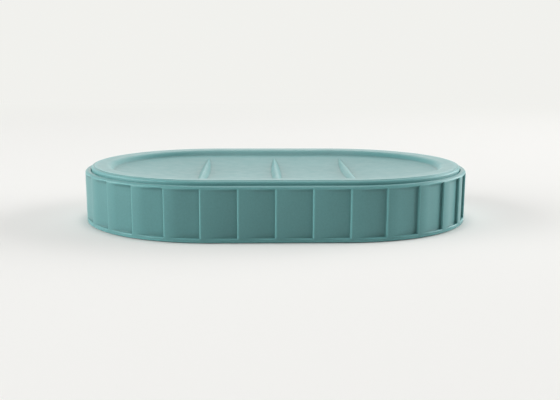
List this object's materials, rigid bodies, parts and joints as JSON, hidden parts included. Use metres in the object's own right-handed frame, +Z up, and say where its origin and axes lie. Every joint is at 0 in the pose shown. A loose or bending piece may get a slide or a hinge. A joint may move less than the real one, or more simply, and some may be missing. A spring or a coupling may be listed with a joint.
{
  "type": "soap dish",
  "caption": "Stadium-shaped soap dish: a low hollow base with a saw-tooth fluted wall carries a lift-out tray with a dished floor and lens-sided soap ribs.",
  "frame": {"origin": "middle of the dish, on the surface it stands on", "axes": "+X along the dish, +Y towards its back, +Z up"},
  "size_m": [0.14, 0.0954, 0.0202],
  "materials": {
    "base_resin": "matt moulded resin, muted teal",
    "tray_resin": "matt moulded resin, muted teal",
    "pad_foam": "soft anti-slip foam"
  },
  "bodies": {
    "base": {"fluted_base": "base_resin", "foot_pad_front_left": "pad_foam", "foot_pad_front_right": "pad_foam", "foot_pad_back_left": "pad_foam", "foot_pad_back_right": "pad_foam"},
    "tray": {"soap_tray": "tray_resin"}
  },
  "joints": [
    {"name": "tray_lift", "type": "slide", "parent": "base", "child": "tray", "axis": [0, 0, 1], "range_m": [0, 0.025]}
  ]
}
